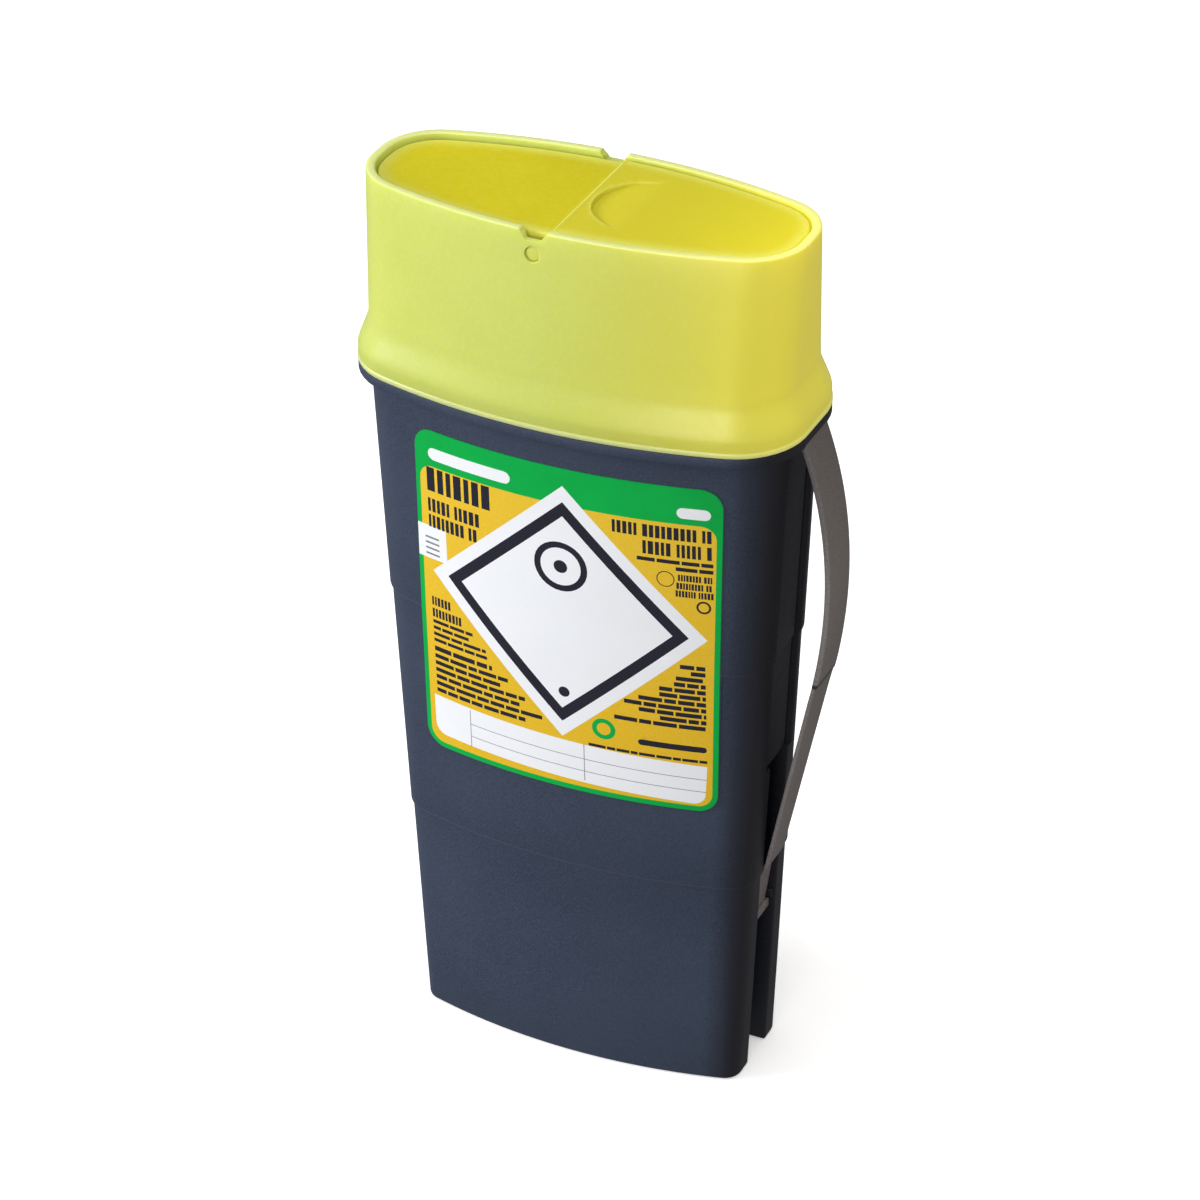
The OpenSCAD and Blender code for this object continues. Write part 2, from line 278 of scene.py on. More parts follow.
class Paint:
    """A Principled material and short calls for the nodes that feed it."""

    def __init__(self, name):
        self.mat = bpy.data.materials.new(name)
        self.mat.use_nodes = True
        self.tree = self.mat.node_tree
        self.bsdf = self.tree.nodes["Principled BSDF"]
        self.coord = self.node("ShaderNodeTexCoord").outputs["Object"]

    def node(self, kind, **settings):
        n = self.tree.nodes.new(kind)
        for key, value in settings.items():
            setattr(n, key, value)
        return n

    def link(self, a, b):
        self.tree.links.new(a, b)

    def set(self, **values):
        for key, value in values.items():
            self.bsdf.inputs[key.replace("_", " ")].default_value = value

    def noise(self, scale, detail=3.0, rough=0.55, stretch=None):
        n = self.node("ShaderNodeTexNoise")
        n.inputs["Scale"].default_value = scale
        n.inputs["Detail"].default_value = detail
        n.inputs["Roughness"].default_value = rough
        source = self.coord
        if stretch:
            m = self.node("ShaderNodeMapping")
            m.inputs["Scale"].default_value = stretch
            self.link(source, m.inputs["Vector"])
            source = m.outputs["Vector"]
        self.link(source, n.inputs["Vector"])
        return n.outputs["Fac"]

    def cells(self, scale):
        n = self.node("ShaderNodeTexVoronoi", feature="SMOOTH_F1")
        n.inputs["Scale"].default_value = scale
        self.link(self.coord, n.inputs["Vector"])
        return n.outputs["Distance"]

    def ramp(self, fac, stops):
        n = self.node("ShaderNodeValToRGB")
        while len(n.color_ramp.elements) < len(stops):
            n.color_ramp.elements.new(0.5)
        for el, (pos, colour) in zip(n.color_ramp.elements, stops):
            el.position = pos
            el.color = (*colour, 1.0)
        self.link(fac, n.inputs["Fac"])
        return n.outputs["Color"]

    def span(self, value, lo, hi, out_lo=0.0, out_hi=1.0):
        n = self.node("ShaderNodeMapRange", clamp=True)
        for key, v in zip(("From Min", "From Max", "To Min", "To Max"), (lo, hi, out_lo, out_hi)):
            n.inputs[key].default_value = v
        self.link(value, n.inputs["Value"])
        return n.outputs["Result"]

    def maths(self, op, a, b):
        n = self.node("ShaderNodeMath", operation=op)
        for i, v in enumerate((a, b)):
            if isinstance(v, (int, float)):
                n.inputs[i].default_value = v
            else:
                self.link(v, n.inputs[i])
        return n.outputs["Value"]

    def blend(self, fac, a, b):
        n = self.node("ShaderNodeMix", data_type="RGBA")
        for key, v in (("Factor", fac), ("A", a), ("B", b)):
            socket = [s for s in n.inputs if s.name == key and s.type in ("VALUE", "RGBA")]
            socket = socket[0] if key == "Factor" else [s for s in socket if s.type == "RGBA"][0]
            if isinstance(v, (int, float)):
                socket.default_value = v
            elif isinstance(v, tuple):
                socket.default_value = (*v, 1.0)
            else:
                self.link(v, socket)
        return [s for s in n.outputs if s.type == "RGBA"][0]

    def place(self, axis):
        """Distance along one of the object's own axes, in metres."""
        n = self.node("ShaderNodeSeparateXYZ")
        self.link(self.coord, n.inputs["Vector"])
        return n.outputs[axis]

    def attribute(self, name):
        return self.node("ShaderNodeAttribute", attribute_name=name).outputs["Fac"]

    def bump(self, height, strength, distance):
        n = self.node("ShaderNodeBump")
        n.inputs["Strength"].default_value = strength
        n.inputs["Distance"].default_value = distance
        self.link(height, n.inputs["Height"])
        self.link(n.outputs["Normal"], self.bsdf.inputs["Normal"])

    def colour(self, socket):
        self.link(socket, self.bsdf.inputs["Base Color"])

    def roughness(self, socket):
        self.link(socket, self.bsdf.inputs["Roughness"])


def line_at(p, tone, height, core, fade, strength, colour):
    """A level line over tone: it is full to core millimetres from its height, and gone at fade."""
    off = p.maths("ABSOLUTE", p.maths("SUBTRACT", p.place("Z"), height * MM), 0.0)
    return p.blend(p.span(off, core * MM, fade * MM, strength, 0.0), tone, colour)


def base_painted_light(p, tone):
    """Painted highlights along the edges of the nesting steps, and painted shade, dark and a little brown,
    on the face at the strap end.
    """
    # Painted highlight: a lighter line along the edge of each nesting step
    for step in (STEP_LOW, STEP_HIGH):
        tone = line_at(p, tone, step - 0.05, 0.2, 0.6, 0.5, SLATE[2])
    # Painted shade, dark and a little brown, over the face at the strap end
    lean = (TOP[0] - TABLE[0]) / SEAM_H
    from_end = p.maths("SUBTRACT", p.place("X"), p.maths("MULTIPLY", p.place("Z"), lean))
    turn_start, turn_end = (TABLE[0] - 8.4) * MM, (TABLE[0] - 1.4) * MM
    return p.blend(p.span(from_end, turn_start, turn_end, 0.0, 0.85), tone, END_SHADE)


def strap_painted_shade(p, tone):
    """Painted shade at the root under the lid, and a painted shade line in the crease."""
    # Painted shade under the lid, darker towards the strap's root
    root = p.span(p.place("Z"), 140.0 * MM, 178.0 * MM, 0.0, 0.5)
    tone = p.blend(root, tone, tuple(c * 0.3 for c in WARM_GREY[0]))
    # Painted shade along the crease
    return line_at(p, tone, CREASE_H + 0.4, 0.4, 0.7, 0.9, CREASE_SHADE)


def dark_plastic(name, low, high, scuff, painted_light):
    """Fine-grained moulded plastic with faint cloudiness, the painted highlights and shade that the last
    argument lays on, and a few handling scuffs.
    """
    p = Paint(name)
    cloud = p.noise(28, 4)
    grain = p.noise(2600, 2, 0.6)
    speckle = p.cells(1900)
    tone = p.ramp(cloud, [(0.3, low), (0.72, high)])
    tone = p.blend(p.span(grain, 0.35, 0.7, 0.0, 0.5), tone, tuple(c * 1.8 for c in high))
    # Painted highlights and shade for this part
    tone = painted_light(p, tone)
    scratch = p.noise(90, 5, 0.6, (1.0, 1.0, 0.12))
    rubbed = p.span(scratch, 0.66, 0.72, 0.0, 0.16)
    p.colour(p.blend(rubbed, tone, scuff))
    p.roughness(p.span(p.maths("ADD", grain, p.maths("MULTIPLY", cloud, 0.5)), 0.5, 1.0, 0.42, 0.6))
    p.bump(p.maths("ADD", p.maths("MULTIPLY", grain, 0.7), speckle), 0.35, 0.00012)
    p.set(IOR=1.49, Specular_IOR_Level=0.3)
    return p.mat


def milky_plastic(name, deep, mid, pale, pale_and_highlight_mask, scatter, warm, shine):
    """Translucent moulded plastic: pale where it is thin and where painted highlights lie, warmer with
    painted warm light towards the strap end, and lit by painted light coming through, faint all over and
    strong at the strap end.
    """
    p = Paint(name)
    cloud = p.noise(22, 3)
    fine = p.noise(900, 2)
    tone = p.ramp(cloud, [(0.3, deep), (0.7, mid)])
    tone = p.blend(p.span(fine, 0.4, 0.7, 0.0, 0.12), tone, pale)
    right = p.span(p.place("X"), -0.005, 0.056, 0.0, 1.0)
    # Painted warm light, stronger towards the strap end
    tone = p.blend(p.maths("MULTIPLY", right, 0.85), tone, warm)
    neck = p.span(p.place("Z"), (SEAM_H + 4) * MM, (SEAM_H + 14) * MM, 0.25, 0.0)
    tone = p.blend(neck, tone, tuple(c * 0.5 for c in mid))
    # Pale where the plastic is thin and where highlights are painted
    p.colour(p.blend(pale_and_highlight_mask(p), tone, pale))
    # Painted light coming through the plastic, faint all over and strong at the strap end
    p.link(tone, p.bsdf.inputs["Emission Color"])
    painted_glow = p.maths("ADD", p.maths("MULTIPLY", p.maths("POWER", right, 3.0), 0.5), 0.07)
    p.link(painted_glow, p.bsdf.inputs["Emission Strength"])
    p.roughness(p.span(fine, 0.3, 0.7, 0.3, 0.42))
    flow = p.noise(160, 3, 0.5, (1.0, 1.0, 0.25))
    p.bump(p.maths("ADD", p.maths("MULTIPLY", fine, 0.25), flow), 0.12, 0.00015)
    p.set(IOR=1.49, Specular_IOR_Level=shine)
    p.set(Subsurface_Weight=scatter, Subsurface_Scale=0.004, Subsurface_Radius=(1.0, 0.9, 0.25))
    return p.mat


def lid_pale_and_highlight(p):
    """Pale along the rim, where the thin plastic is paler and a highlight is painted, and a painted
    highlight along the bead at the skirt's lower edge.
    """
    z = p.place("Z")
    # Rim: thin plastic, with a painted highlight on its top
    rim = p.span(z, (TOTAL_H - 0.35) * MM, (TOTAL_H - 0.05) * MM, 0.0, 0.55)
    # Painted highlight along the top of the bead
    bead = p.span(z, (SEAM_H + 1.1) * MM, (SEAM_H + 1.5) * MM, 0.55, 0.0)
    return p.maths("MAXIMUM", rim, bead)


def flap_pale_and_highlight(p):
    """Pale where make_flap says so: painted light coming through along the border, painted highlights along
    the step's edge and the press mark's arc, a little over the right half, and fully on the pins.
    """
    return p.attribute("pale")


def print_ink(name, colour, spread):
    """Printed film: ink with a faint screen grain and a satin varnish."""
    p = Paint(name)
    screen = p.noise(2400, 1)
    cloud = p.noise(45, 3)
    darker = tuple(c * (1 - spread) for c in colour)
    tone = p.ramp(cloud, [(0.35, darker), (0.65, colour)])
    p.colour(p.blend(p.span(screen, 0.4, 0.65, 0.0, 0.1), tone, tuple(min(1.0, c * 1.25) for c in colour)))
    p.roughness(p.span(screen, 0.3, 0.7, 0.33, 0.45))
    p.bump(p.noise(700, 2), 0.05, 0.0001)
    p.set(Specular_IOR_Level=0.25)
    return p.mat


def amber_ink():
    """Amber ink, a little deeper towards the label's foot."""
    p = Paint("ink_amber")
    screen = p.noise(2400, 1)
    up = p.span(p.place("Z"), LABEL_LOW * MM, LABEL_HIGH * MM)
    tone = p.ramp(up, [(0.0, AMBER_LOW), (1.0, AMBER_HIGH)])
    p.colour(p.blend(p.span(screen, 0.4, 0.65, 0.0, 0.12), tone, (0.9, 0.72, 0.25)))
    p.roughness(p.span(screen, 0.3, 0.7, 0.34, 0.46))
    p.bump(p.noise(700, 2), 0.05, 0.0001)
    p.set(Specular_IOR_Level=0.25)
    return p.mat


AMBER_LOW, AMBER_HIGH = (0.76, 0.46, 0.008), (0.80, 0.52, 0.025)
# Colour of the painted shade at the base's strap end
END_SHADE = (0.010, 0.008, 0.009)
# Colour of the painted shade in the strap's crease
CREASE_SHADE = (0.02, 0.018, 0.018)
SLATE = ((0.027, 0.037, 0.062), (0.036, 0.048, 0.077), (0.08, 0.09, 0.115))
WARM_GREY = ((0.175, 0.155, 0.150), (0.215, 0.195, 0.187), (0.28, 0.27, 0.26))
LID_TONES = ((0.50, 0.56, 0.105), (0.56, 0.62, 0.135), (0.66, 0.70, 0.36))
FLAP_TONES = ((0.48, 0.42, 0.002), (0.55, 0.48, 0.003), (0.62, 0.64, 0.13))

BASE_MAT = dark_plastic("base_slate", *SLATE, base_painted_light)
STRAP_MAT = dark_plastic("strap_grey", *WARM_GREY, strap_painted_shade)
# The colour after the scatter value is the painted warm light towards the strap end
LID_MAT = milky_plastic("lid_lime", *LID_TONES, lid_pale_and_highlight, 0.6, (0.68, 0.58, 0.045), 0.4)
FLAP_MAT = milky_plastic("flap_yellow", *FLAP_TONES, flap_pale_and_highlight, 0.3, (0.56, 0.47, 0.003), 0.12)
INKS = [
    print_ink("ink_green", (0.001, 0.42, 0.065), 0.12),
    amber_ink(),
    print_ink("ink_white", (0.86, 0.875, 0.90), 0.02),
    print_ink("ink_dark", (0.020, 0.020, 0.032), 0.2),
    print_ink("ink_line", (0.22, 0.23, 0.26), 0.1),
]
GREEN, AMBER, WHITE, DARK, LINE = range(5)


# ---------------------------------------------------------------- base


def channel_end(z, inset=0.0):
    return "channel", CHANNEL_W + inset, wall_sec(z)[0] - STEP - CHANNEL_D - inset


def panel_end(z, g):
    return "panel", PANEL_W, wall_sec(z)[0] + g - PANEL_D


def base_rings():
    """Rings up the outside of the base, over its neck, and down the inside to the floor."""
    rings = []
    for z, inset in ((1.0, 3.3), (0.3, 3.0), (0.0, 2.7), (0.0, 1.0), (0.08, 0.55), (0.3, 0.2), (0.8, 0.0)):
        rings.append(ring(z, wall_sec(0, -STEP - inset), *channel_end(0, inset)))
    for z in (20, 40):
        rings.append(ring(z, wall_sec(z, -STEP), *channel_end(z)))
    for dz, g in ((-0.35, -STEP), (0.0, -0.42), (0.05, -0.1), (0.4, 0.0)):
        rings.append(ring(STEP_LOW + dz, wall_sec(STEP_LOW + dz, g), *channel_end(STEP_LOW + dz)))
    for z in (72, CHANNEL_TOP - 0.25, CHANNEL_TOP):
        rings.append(ring(z, wall_sec(z), *channel_end(z)))
    for z in (CHANNEL_TOP, CHANNEL_TOP + 0.3, 103):
        rings.append(ring(z, wall_sec(z), *panel_end(z, 0)))
    for dz, g in ((-0.35, 0.0), (0.0, 0.08), (0.05, 0.4), (0.4, STEP)):
        rings.append(ring(STEP_HIGH + dz, wall_sec(STEP_HIGH + dz, g), *panel_end(STEP_HIGH + dz, g)))
    lip = SEAM_H - LIP_H
    for z in (138, 157, lip - 0.5, lip):
        rings.append(ring(z, wall_sec(z, STEP), *panel_end(z, STEP)))
    edge = ((lip, 1.3), (lip, 2.5), (lip + 0.1, 2.7), (lip + 0.35, LIP_OUT), (SEAM_H - 0.4, LIP_OUT))
    edge += ((SEAM_H - 0.1, 2.7), (SEAM_H, 2.45), (SEAM_H, -0.1), (SEAM_H + NECK_H - 0.3, -0.1))
    edge += ((SEAM_H + NECK_H, -0.35),)
    for z, g in edge:
        rings.append(ring(z, grown(SEAM, g)))
    top = SEAM_H + NECK_H
    for z, g in ((top, 0.3), (top - 0.3, 0.0), (lip, 0.0)):
        rings.append(ring(z, inner_sec(z, g)))
    for z in (lip - 0.6, 140, 110, CHANNEL_TOP + WALL + 0.5):
        rings.append(ring(z, inner_sec(z), "channel", PANEL_W + 2.4, wall_sec(z)[0] - 3.8))
    for z in (CHANNEL_TOP + WALL, 60, 30, 4.2):
        rings.append(ring(z, inner_sec(z), *channel_end(z, WALL)))
    for z, g in ((3.2, -0.4), (2.8, -1.4)):
        rings.append(ring(z, inner_sec(z, g), *channel_end(z, WALL - g)))
    return rings


def label_lift(z):
    """How far the label's back stands out from the base's middle line: it bridges the upper nesting step."""
    return STEP * min(max((z - LABEL_LOW) / (STEP_HIGH - LABEL_LOW), 0.0), 1.0) + 0.04


def on_front(s, z, g):
    """The point at arc length s along the front face and height z, standing g out from the middle line."""
    _, b, _, big = wall_sec(z, g)
    return big * math.sin(s / big), (big - b) - big * math.cos(s / big), z


def label_right(z):
    """The label's right edge leans in a little towards its foot."""
    return 39.1 + 2.4 * (z - LABEL_LOW) / (LABEL_HIGH - LABEL_LOW)


def label_left(z):
    """The label's left edge leans out a little towards its foot."""
    return -36.35 + 1.0 * (z - LABEL_LOW) / (LABEL_HIGH - LABEL_LOW)


def label_loop(inset=0.0, radius=5.0, low=LABEL_LOW, high=LABEL_HIGH):
    """Rounded outline inside the label's edge, as (arc length, height)."""
    lo, hi, r = low + inset, high - inset, radius
    pts = []
    x0 = label_left(lo + r) + inset
    pts += arc(x0 + r, lo + r, r, math.pi, 1.5 * math.pi, 8)
    x1 = label_right(lo + r) - inset
    pts += arc(x1 - r, lo + r, r, 1.5 * math.pi, 2 * math.pi, 8)
    x1 = label_right(hi - r) - inset
    pts += arc(x1 - r, hi - r, r, 0, 0.5 * math.pi, 8)
    x0 = label_left(hi - r) + inset
    pts += arc(x0 + r, hi - r, r, 0.5 * math.pi, math.pi, 8)
    return pts


def finer(loop, step=2.5):
    """The same closed loop with no side longer than step."""
    out = []
    for p, q in zip(loop, loop[1:] + loop[:1]):
        n = max(1, math.ceil(math.hypot(q[0] - p[0], q[1] - p[1]) / step))
        out += [(p[0] + (q[0] - p[0]) * i / n, p[1] + (q[1] - p[1]) * i / n) for i in range(n)]
    return out


def within(loop, p):
    inside = False
    for (x0, y0), (x1, y1) in zip(loop, loop[1:] + loop[:1]):
        if (y0 > p[1]) != (y1 > p[1]) and p[0] < (x1 - x0) * (p[1] - y0) / (y1 - y0) + x0:
            inside = not inside
    return inside


def lattice(x0, x1, y0, y1, step):
    """Points on a slightly skewed grid, so that none falls on a straight edge."""
    pts = []
    for i in range(int((x1 - x0) / step)):
        for j in range(int((y1 - y0) / step)):
            pts.append((x0 + (i + 0.5) * step + 0.013 * j, y0 + (j + 0.5) * step + 0.017 * i))
    return pts


def make_base():
    s = Shape()
    s.loft(base_rings())
    # Lugs in the channel that trap the strap's foot
    for side in (-1, 1):
        y = sorted((side * 4.0, side * 5.3))
        s.block((40.7, y[0], 44.0), (43.7, y[1], 46.4), 0.3)
    # Pad behind the label, which bridges the upper nesting step
    edge = finer(label_loop(-0.35, 5.3))
    s.plate(
        [edge],
        lattice(-38, 43, LABEL_LOW, LABEL_HIGH, 3.0),
        lambda p: within(edge, p),
        lambda p: on_front(p[0], p[1], label_lift(p[1]) - 0.03),
        lambda p: on_front(p[0], p[1], -0.5),
    )
    obj = s.make("base_shell", [BASE_MAT])
    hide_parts("base")
    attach(obj, "container")


# ---------------------------------------------------------------- label


def rect(x0, x1, y0, y1):
    return [(x0, y0), (x1, y0), (x1, y1), (x0, y1)]


def pill(x0, x1, y0, y1):
    r = (y1 - y0) / 2
    mid = (y0 + y1) / 2
    right_end = arc(x1 - r, mid, r, -math.pi / 2, math.pi / 2, 8)
    return right_end + arc(x0 + r, mid, r, math.pi / 2, 1.5 * math.pi, 8)


def disc(x, y, r, n=32):
    return arc(x, y, r, 0, 2 * math.pi * (n - 1) / n, n - 1)


def diamond(x, y, h, turn=-1.8):
    turns = [math.radians(turn + 90 * k) for k in range(4)]
    return [(x + h * math.cos(t), y + h * math.sin(t)) for t in turns]


def blocks(x0, x1, y_top, h, dice, tall):
    """One line of blank printing: tall lines are broken into strokes, small ones into words."""
    out, x = [], x0
    left_in_word = dice.randint(5, 10)
    while x < x1 - 0.3 * h:
        w = h * (dice.uniform(0.2, 0.36) if tall else dice.uniform(2.0, 5.5))
        w = min(w, x1 - x)
        out.append(rect(x, x + w, y_top - h, y_top))
        left_in_word -= 1
        new_word = tall and left_in_word <= 0
        x += w + h * (0.4 if new_word or not tall else 0.12)
        if new_word:
            left_in_word = dice.randint(5, 10)
    return out


def label_regions():
    """(outline, ink) from the bottom of the print to the top. All wording is left as blank blocks."""
    dice = random.Random(7)
    cx, cz, h = 2.9, 129.8, 34.6
    regions = [(label_loop(1.3, 3.6, low=LABEL_LOW + 0.1, high=LABEL_HIGH - 8.3), AMBER)]
    # Blank form at the foot of the label
    strip = [(-33.5, 95.2), *arc(-30.5, 87.2, 3, math.pi, 1.5 * math.pi, 6)]
    strip += [*arc(33.4, 85.4, 3, 1.5 * math.pi, 2 * math.pi, 6), (36.9, 93.3)]
    regions.append((strip, WHITE))
    for left, fall in ((-23.2, 4.1), (-23.2, 7.6)):
        z = 94.4 - fall
        regions.append(([(left, z), (36.6, z - 0.9), (36.6, z - 0.72), (left, z + 0.18)], LINE))
    for x in (-23.3, 7.0):
        regions.append(([(x, 83.8), (x + 0.2, 83.8), (x + 0.3, 94.4), (x + 0.1, 94.4)], LINE))
    # White chip at the left edge, and the plain bars on the green band
    regions.append((rect(-36.2, -27.5, 133.9, 142.9), WHITE))
    regions += [(rect(-33.6, -29.6, 139.4 - k * 1.5, 139.9 - k * 1.5), LINE) for k in range(4)]
    regions.append((pill(-31.6, -9.2, 161.2, 164.4), WHITE))
    regions.append((pill(30.8, 38.6, 160.9, 163.7), WHITE))
    # Headline block at the upper left
    for x1, top, tall in ((-13.7, 159.0, 6.4), (-17.0, 150.6, 3.6), (-18.6, 146.1, 3.4)):
        regions += [(b, DARK) for b in blocks(-32.3, x1, top, tall, dice, True)]
    # Notes at the lower left, which follow the diamond's edge
    lines = [(123.4, 2.4), (120.1, 2.4)] + [(116.9 - 1.75 * k, 0.9) for k in range(4)]
    lines += [(109.4, 1.3)] + [(107.2 - 1.95 * k, 1.1) for k in range(6)]
    short_by = (0.0, 0.0, 1.0, 3.5, 1.0, 2.5, 3.5, 1.5, 5.0, 1.0, 4.5, 0.5, 7.0)
    for (top, tall), short in zip(lines, short_by):
        edge = cx - (h - (cz - top)) - 1.4
        regions += [(b, DARK) for b in blocks(-32.6, min(edge - short, -3.0), top, tall, dice, tall > 2)]
    # Notes at the right, set against the right edge
    upper = [(158.2, 3.3, 15.7), (153.9, 3.5, 22.8), (149.5, 1.0, 21.4), (147.8, 1.0, 30.4)]
    upper += [(145.9, 1.7, 30.9), (143.7, 1.7, 30.5), (141.6, 1.7, 30.3)]
    starts = (31, 33.5, 30, 29.5, 26, 26, 21, 17.5, 21, 26, 15)
    lower = [(121.4 - 1.68 * k, 1.15, x) for k, x in enumerate(starts)]
    lower += [(95.0, 0.8, 8.4)]
    for top, tall, x0 in upper:
        regions += [(b, DARK) for b in blocks(x0, 39.0, top, tall, dice, tall > 1.6)]
    for top, tall, x0 in lower:
        regions += [(b, DARK) for b in blocks(x0, 36.9, top, tall, dice, False)]
    for x, z, r, hole in ((28.0, 144.3, 2.1, 1.85), (36.7, 137.6, 1.7, 1.2)):
        regions += [(disc(x, z, r), DARK), (disc(x, z, hole), AMBER)]
    regions.append((pill(20.6, 36.9, 97.2, 98.8), DARK))
    regions += [(disc(12.3, 99.8, 2.9), GREEN), (disc(12.3, 99.8, 1.7), AMBER)]
    # Diamond with a plain ring
    for border, ink in ((0.0, WHITE), (4.3, DARK), (8.1, WHITE)):
        regions.append((diamond(cx, cz, h - border), ink))
    for r, ink in ((6.6, DARK), (5.0, WHITE), (1.7, DARK)):
        regions.append((disc(cx, 142.6, r), ink))
    regions.append((disc(2.7, 108.0, 1.4), DARK))
    return regions


def make_label():
    edge = finer(label_loop())
    regions = [(finer(loop), ink) for loop, ink in label_regions()]
    boxes = []
    for loop, ink in regions:
        xs, ys = [p[0] for p in loop], [p[1] for p in loop]
        boxes.append((min(xs), max(xs), min(ys), max(ys), loop, ink))

    def ink_at(p):
        for x0, x1, y0, y1, loop, ink in reversed(boxes):
            if x0 <= p[0] <= x1 and y0 <= p[1] <= y1 and within(loop, p):
                return ink
        return GREEN

    s = Shape()
    s.plate(
        [edge] + [loop for loop, _ in regions],
        lattice(-37, 43, LABEL_LOW, LABEL_HIGH, 2.4),
        lambda p: within(edge, p),
        lambda p: on_front(p[0], p[1], label_lift(p[1]) + LABEL_T),
        lambda p: on_front(p[0], p[1], label_lift(p[1])),
        ink_at,
    )
    obj = s.make("label_film", INKS)
    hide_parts("front_label")
    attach(obj, "container")


# ---------------------------------------------------------------- lid collar


def lid_rings():
    """Rings up the outside of the collar from its skirt, over the rim, and down the inside."""
    rings = []
    skirt = ((0.0, 0.05), (0.0, 2.5), (0.12, 2.82), (0.4, 2.9), (1.0, 2.9), (1.2, 2.8), (1.35, 2.7))
    skirt += ((3.4, 2.72), (4.4, 2.55), (5.6, 2.1), (6.9, 1.6), (8.2, 1.08), (9.4, 0.6))
    skirt += ((10.6, 0.24), (11.8, 0.03))
    for dz, g in skirt:
        rings.append(ring(SEAM_H + dz, lid_sec(SEAM_H + dz, g)))
    for z in (195, 203, 211, 218):
        rings.append(ring(z, lid_sec(z)))
    top = TOTAL_H
    rim = ((0.55, 0.0), (0.2, -0.08), (0.04, -0.3), (0.0, -0.55), (0.0, -1.6), (0.06, -1.9), (0.25, -2.12))
    rim += ((0.6, -LID_WALL), (6.0, -LID_WALL), (16.0, -LID_WALL), (26.0, -LID_WALL))
    for dz, g in rim:
        rings.append(ring(top - dz, lid_sec(top - dz, g)))
    inside = SEAM_H + NECK_H + 0.2
    rings.append(ring(inside, lid_sec(inside, -LID_WALL)))
    rings.append(ring(inside, lid_sec(inside, 0.05)))
    return rings


def notch_profile(width, depth, r):
    """A notch with rounded corners, from below the rim to above it, as (x, z)."""
    half_low = width / 2 - 0.9
    pts = arc(PIVOT_X - half_low + r, TOTAL_H - depth + r, r, math.pi, 1.5 * math.pi, 5)
    pts += arc(PIVOT_X + half_low - r, TOTAL_H - depth + r, r, 1.5 * math.pi, 2 * math.pi, 5)
    flare = arc(PIVOT_X + width / 2 + r, TOTAL_H - r, r, math.pi, 0.6 * math.pi, 4)
    pts += flare + [(PIVOT_X + width / 2 + 2 * r, TOTAL_H + 1)]
    pts += [(2 * PIVOT_X - x, z) for x, z in reversed(flare + [(PIVOT_X + width / 2 + 2 * r, TOTAL_H + 1)])]
    return pts


def lid_cutters():
    """One mesh that takes out the pin holes, the rim notches and the ramps that lead the pins in."""
    s = Shape()
    notch = notch_profile(6.2, 2.3, 0.7)
    hole_r = PIN_R + 0.08
    for side in (-1, 1):
        near, far = sorted((side * 16.0, side * 30.0))
        s.loft([[(x, y, z) for x, z in reversed(notch)] for y in (near, far)])
        s.lathe_y([(near, hole_r), (far, hole_r)], PIVOT_X, PIVOT_Z, n=40)
        inner = RIM[1] - LID_WALL
        foot_z, head_z = PIVOT_Z + 0.6, TOTAL_H + 1
        wide, slim = 3.0, hole_r
        depth_at = ((foot_z, inner + 0.5, slim), (head_z, inner + 1.35, wide))
        ramp = []
        for z, y, w in depth_at:
            left, right = PIVOT_X - w, PIVOT_X + w
            corners = ((left, y), (right, y), (right, inner - 3), (left, inner - 3))
            ramp.append([(x, side * v, z) for x, v in corners])
        s.loft(ramp)
    return s.make("lid_cutters", [])


def cut(obj, cutter):
    """obj minus cutter, as plain mesh data."""
    mod = obj.modifiers.new("cut", "BOOLEAN")
    mod.operation = "DIFFERENCE"
    mod.solver = "EXACT"
    mod.use_self = True
    mod.object = cutter
    graph = bpy.context.evaluated_depsgraph_get()
    mesh = bpy.data.meshes.new_from_object(obj.evaluated_get(graph))
    obj.modifiers.clear()
    obj.data = mesh
    bpy.data.objects.remove(cutter)


def make_lid():
    s = Shape()
    s.loft(lid_rings(), closed=True)
    obj = s.make("lid_shell", [LID_MAT])
    cut(obj, lid_cutters())
    smooth(obj)
    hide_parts("lid_collar")
    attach(obj, "container")
    ledge = Shape()
    end = -lid_sec(PIVOT_Z)[0] + LID_WALL
    ledge.block((end - 0.6, -8.0, PIVOT_Z - 2.2), (end + 1.5, 8.0, PIVOT_Z - 0.6), 0.4)
    stop = ledge.make("flap_stop", [LID_MAT])
    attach(stop, "container")


# ---------------------------------------------------------------- flap

FLAP_SEC = grown(RIM, -LID_WALL - FLAP_GAP)
MARK_X, MARK_R, MARK_DEPTH, MARK_CHORD = 1.2, 11.8, 1.0, 11.4
EDGE_X = -0.5


def flap_top(x, y):
    """Height of the flap's upper face."""
    deep = inset_depth(FLAP_SEC, x, y)
    z = TOTAL_H - FLAP_DROP
    low = FLAP_STEP * min(max((EDGE_X - x) / 0.3, 0.0), 1.0)
    ridge = 0.12 * max(0.0, 1.0 - abs(x - EDGE_X - 0.35) / 0.35)
    z += ridge - low
    from_centre = math.hypot(x - MARK_X - MARK_R, y)
    if from_centre < MARK_R and x < MARK_CHORD:
        slope = (MARK_CHORD - x) / (MARK_CHORD - MARK_X)
        z -= MARK_DEPTH * slope * min((MARK_R - from_centre) / 0.3, 1.0)
    return z - max(0.0, 0.35 - deep) ** 2 / 0.35


def flap_under(x, y):
    z = TOTAL_H - FLAP_DROP - FLAP_STEP - FLAP_T
    return z - (2.2 if inset_depth(FLAP_SEC, x, y) < 1.21 else 0.0)


